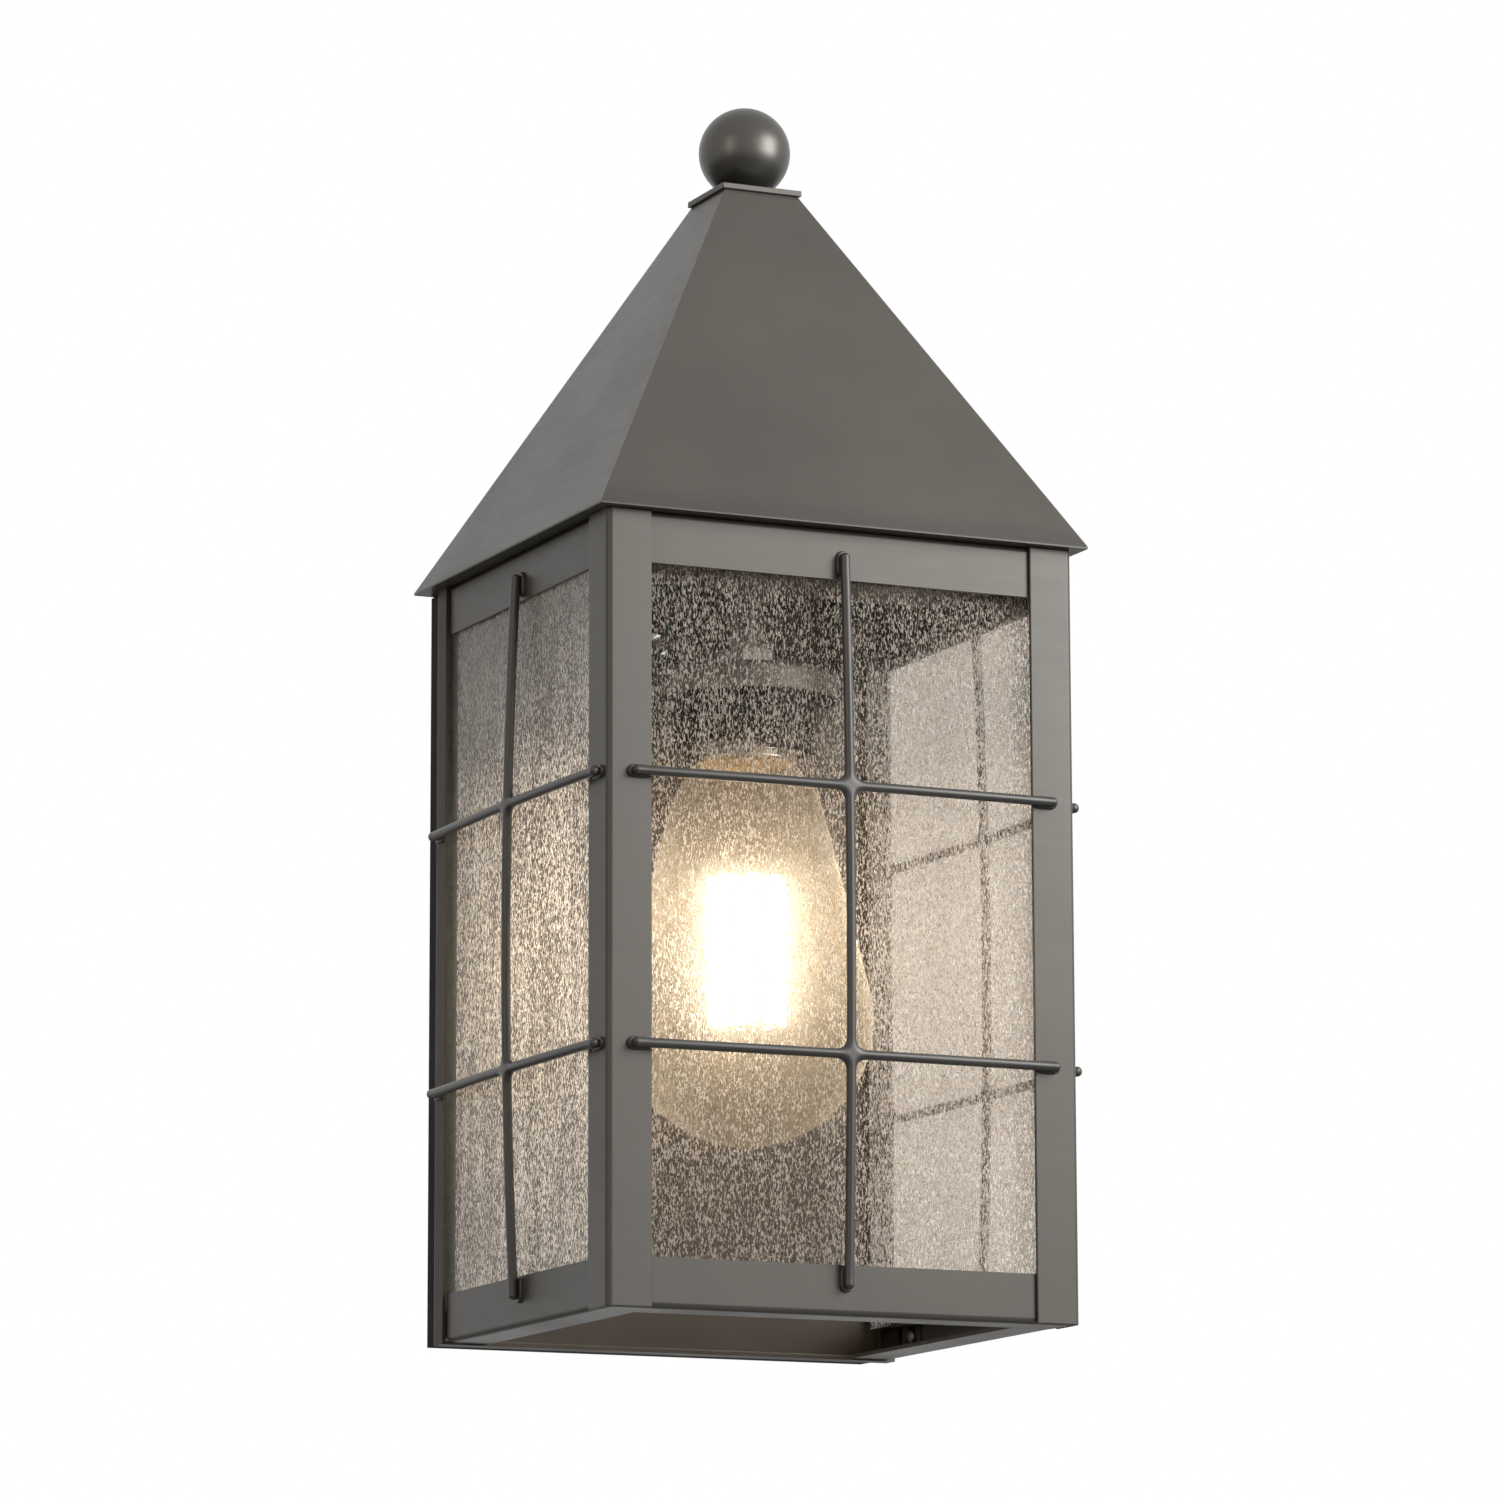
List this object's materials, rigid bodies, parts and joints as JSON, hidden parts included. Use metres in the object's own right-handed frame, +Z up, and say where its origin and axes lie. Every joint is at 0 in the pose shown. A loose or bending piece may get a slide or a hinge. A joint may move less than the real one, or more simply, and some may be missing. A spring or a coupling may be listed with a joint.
{
  "type": "wall lantern",
  "caption": "Outdoor wall lantern: sheet-metal cage with an open bottom, pyramid roof and ball finial, seeded glass behind welded wire grids, and a screw-in lamp hanging from the roof.",
  "frame": {"origin": "centre of the outlet box and of the crossbar, on the plane of the wall", "axes": "+Z up, +X to the right as seen from the front, +Y into the wall; the front faces -Y"},
  "size_m": [0.1358, 0.1244, 0.3175],
  "materials": {
    "painted_metal": "satin dark pewter",
    "zinc_steel": "zinc plated",
    "green_metal": "gloss green",
    "porcelain": "dark brown glaze",
    "brass": "plain",
    "plated_brass": "bright",
    "black_insulation": "satin",
    "white_insulation": "satin",
    "green_insulation": "satin",
    "rubber": "matte",
    "seeded_glass": "clear, seeded",
    "lamp_glass": "clear",
    "black_glass": "black glass",
    "glowing_strand": "lit"
  },
  "bodies": {
    "lantern": {"crossbar": "zinc_steel", "crossbar_stud": "zinc_steel", "stud_lock_nut": "zinc_steel", "earth_screws": "green_metal", "wall_plate": "painted_metal", "back_tray": "painted_metal", "post_left": "painted_metal", "post_right": "painted_metal", "top_rail_front": "painted_metal", "top_rail_left": "painted_metal", "top_rail_right": "painted_metal", "bottom_rail_front": "painted_metal", "bottom_rail_left": "painted_metal", "bottom_rail_right": "painted_metal", "tray_tabs": "painted_metal", "roof_shell": "painted_metal", "roof_cap_plate": "painted_metal", "hanger_tube": "zinc_steel", "tube_nuts": "zinc_steel", "holder_strap": "zinc_steel", "strap_screws": "zinc_steel", "strap_nuts": "zinc_steel", "holder_cup": "painted_metal", "cup_screws": "zinc_steel", "lamp_holder": "porcelain", "screw_shell": "brass", "centre_contact": "brass", "live_lead": "black_insulation", "neutral_lead": "white_insulation", "earth_lead": "green_insulation", "lead_grommet": "rubber", "glass_front": "seeded_glass", "glass_left": "seeded_glass", "glass_right": "seeded_glass", "glass_clips": "zinc_steel", "clip_screws": "zinc_steel", "grid_front": "painted_metal", "grid_left": "painted_metal", "grid_right": "painted_metal"},
    "lamp": {"bulb_glass": "lamp_glass", "bulb_cap": "plated_brass", "bulb_insulator": "black_glass", "bulb_contact": "zinc_steel", "bulb_stem": "lamp_glass", "bulb_supports": "zinc_steel", "bulb_strands": "glowing_strand"},
    "finial": {"ball_finial": "painted_metal"},
    "wall_nut": {"cap_nut": "painted_metal"}
  },
  "joints": [
    {"name": "lamp_draw", "type": "slide", "parent": "lantern", "child": "lamp", "axis": [0, 0, -1], "range_m": [0, 0.17]},
    {"name": "finial_turn", "type": "hinge", "parent": "lantern", "child": "finial", "pos_m": [0, -0.0622, 0.2073], "axis": [0, 0, 1], "continuous": true},
    {"name": "wall_nut_turn", "type": "hinge", "parent": "lantern", "child": "wall_nut", "pos_m": [0, -0.0096, 0], "axis": [0, -1, 0], "continuous": true}
  ]
}
